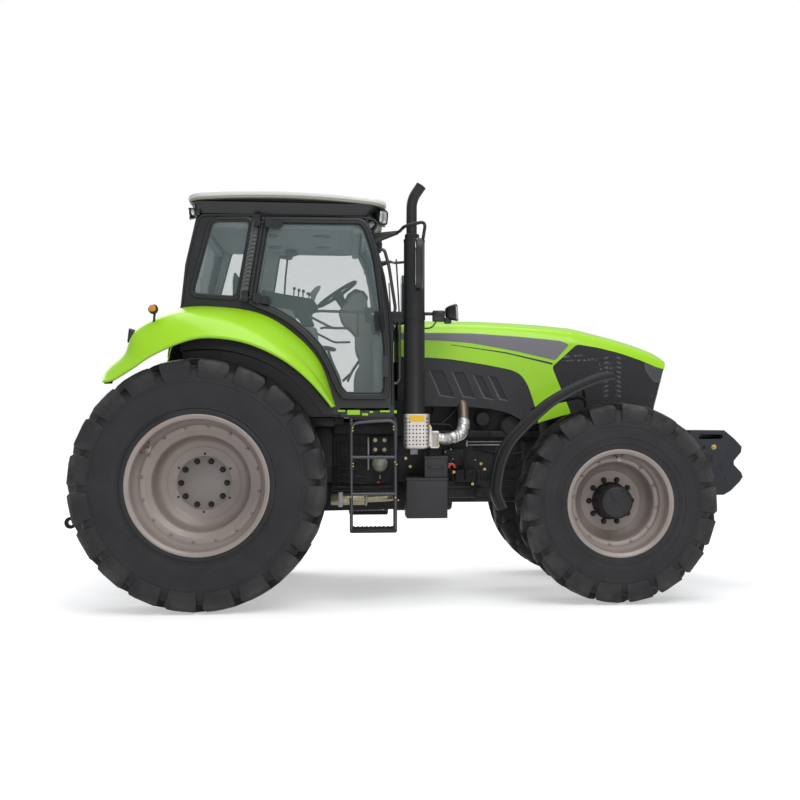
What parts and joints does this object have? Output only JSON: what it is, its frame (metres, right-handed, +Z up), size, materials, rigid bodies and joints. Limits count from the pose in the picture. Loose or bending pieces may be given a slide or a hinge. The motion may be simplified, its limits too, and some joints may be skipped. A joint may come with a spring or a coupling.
{
  "type": "farm tractor",
  "caption": "Four-wheel-drive farm tractor with glazed cab, lug tyres, front weights, hinged bonnet and doors, and a rear three-point hitch.",
  "frame": {"origin": "on the ground under the middle of the tractor's box", "axes": "+X forward, +Y to the tractor's left, +Z up"},
  "size_m": [5.346, 2.51, 3.1768],
  "materials": {
    "tyre_rubber": "matte",
    "rim_paint": "satin",
    "hub_black": "satin",
    "chassis_grey": "satin",
    "body_green": "gloss",
    "panel_dark": "satin",
    "cab_dark": "satin",
    "roof_white": "gloss",
    "glass_clear": "gloss",
    "exhaust_black": "matte",
    "shield_steel": "satin",
    "weight_iron": "matte",
    "seat_fabric": "matte",
    "interior_plastic": "matte",
    "lamp_plastic": "gloss"
  },
  "bodies": {
    "chassis": {"transaxle": "chassis_grey", "engine_block": "chassis_grey", "front_frame": "chassis_grey", "front_axle": "chassis_grey", "cooling_pack": "panel_dark", "firewall": "cab_dark", "weight_carrier": "chassis_grey", "front_weights": "weight_iron", "cab_base": "cab_dark", "cab_floor": "cab_dark", "cab_frame": "cab_dark", "roof_cap": "roof_white", "roof_tray": "cab_dark", "cab_windows": "glass_clear", "rear_fender_left": "body_green", "rear_fender_right": "body_green", "seat_base": "interior_plastic", "seat": "seat_fabric", "side_console": "interior_plastic", "steering_column": "interior_plastic", "steps": "chassis_grey", "battery_box": "chassis_grey", "fuel_tank": "panel_dark", "exhaust": "exhaust_black", "heat_shield": "shield_steel", "mirrors": "lamp_plastic", "handrails": "cab_dark", "work_lamps": "lamp_plastic", "drawbar": "chassis_grey"},
    "bonnet": {"bonnet": "body_green", "engine_panels": "panel_dark", "bonnet_nose": "panel_dark"},
    "tie_rod": {"tie_rod": "chassis_grey"},
    "lift_arms": {"lift_arms": "chassis_grey"},
    "lift_rods": {"lift_rods": "chassis_grey"},
    "lower_links": {"lower_links": "chassis_grey"},
    "top_link": {"top_link": "chassis_grey"},
    "door_left": {"door_left": "cab_dark", "door_glass_left": "glass_clear"},
    "knuckle_left": {"knuckle_left": "chassis_grey", "front_mudguard_left": "panel_dark"},
    "front_wheel_left": {"front_tyre_left": "tyre_rubber", "front_rim_left": "rim_paint", "front_hub_left": "hub_black"},
    "rear_wheel_left": {"rear_tyre_left": "tyre_rubber", "rear_rim_left": "rim_paint", "rear_hub_left": "rim_paint"},
    "door_right": {"door_right": "cab_dark", "door_glass_right": "glass_clear"},
    "knuckle_right": {"knuckle_right": "chassis_grey", "front_mudguard_right": "panel_dark"},
    "front_wheel_right": {"front_tyre_right": "tyre_rubber", "front_rim_right": "rim_paint", "front_hub_right": "hub_black"},
    "rear_wheel_right": {"rear_tyre_right": "tyre_rubber", "rear_rim_right": "rim_paint", "rear_hub_right": "rim_paint"}
  },
  "joints": [
    {"name": "rear_wheel_left_spin", "type": "hinge", "parent": "chassis", "child": "rear_wheel_left", "pos_m": [-1.598, 0.995, 0.912], "axis": [0, 1, 0], "continuous": true},
    {"name": "steer_left", "type": "hinge", "parent": "chassis", "child": "knuckle_left", "pos_m": [1.485, 0.63, 0.756], "axis": [0, 0, 1], "range_deg": [-32, 32]},
    {"name": "front_wheel_left_spin", "type": "hinge", "parent": "knuckle_left", "child": "front_wheel_left", "pos_m": [1.485, 0.907, 0.756], "axis": [0, 1, 0], "continuous": true},
    {"name": "rear_wheel_right_spin", "type": "hinge", "parent": "chassis", "child": "rear_wheel_right", "pos_m": [-1.598, -0.995, 0.912], "axis": [0, 1, 0], "continuous": true},
    {"name": "steer_right", "type": "hinge", "parent": "chassis", "child": "knuckle_right", "pos_m": [1.485, -0.63, 0.756], "axis": [0, 0, 1], "range_deg": [-32, 32]},
    {"name": "front_wheel_right_spin", "type": "hinge", "parent": "knuckle_right", "child": "front_wheel_right", "pos_m": [1.485, -0.907, 0.756], "axis": [0, 1, 0], "continuous": true},
    {"name": "tie_rod_swing", "type": "hinge", "parent": "knuckle_left", "child": "tie_rod", "pos_m": [1.2, 0.63, 0.776], "axis": [0, 0, 1], "range_deg": [-32, 32]},
    {"name": "bonnet_lift", "type": "hinge", "parent": "chassis", "child": "bonnet", "pos_m": [-0.118, 0, 2.15], "axis": [0, -1, 0], "range_deg": [0, 42]},
    {"name": "door_right_swing", "type": "hinge", "parent": "chassis", "child": "door_right", "pos_m": [-1.256, -0.84672, 2.30001], "axis": [-0.154, -0.0396, -0.9873], "range_deg": [0, 60]},
    {"name": "door_left_swing", "type": "hinge", "parent": "chassis", "child": "door_left", "pos_m": [-1.256, 0.84672, 2.30001], "axis": [0.154, -0.0396, 0.9873], "range_deg": [0, 60]},
    {"name": "hitch_lift", "type": "hinge", "parent": "chassis", "child": "lift_arms", "pos_m": [-1.788, 0, 1.15], "axis": [0, 1, 0], "range_deg": [-30, 30]},
    {"name": "lower_link_swing", "type": "hinge", "parent": "chassis", "child": "lower_links", "pos_m": [-1.778, 0, 0.6], "axis": [0, 1, 0], "range_deg": [-22, 22]},
    {"name": "lift_rod_swing", "type": "hinge", "parent": "lift_arms", "child": "lift_rods", "pos_m": [-2.158, 0, 1.18], "axis": [0, 1, 0], "range_deg": [-29, 29]},
    {"name": "top_link_swing", "type": "hinge", "parent": "chassis", "child": "top_link", "pos_m": [-1.983, 0, 1.01], "axis": [0, 1, 0], "range_deg": [-40, 63]}
  ],
  "couplings": [
    {"joint": "steer_right", "follows": "steer_left", "ratio": 1},
    {"joint": "tie_rod_swing", "follows": "steer_left", "ratio": -1},
    {"joint": "lower_link_swing", "follows": "hitch_lift", "ratio": 0.729},
    {"joint": "lift_rod_swing", "follows": "hitch_lift", "ratio": -0.946}
  ]
}
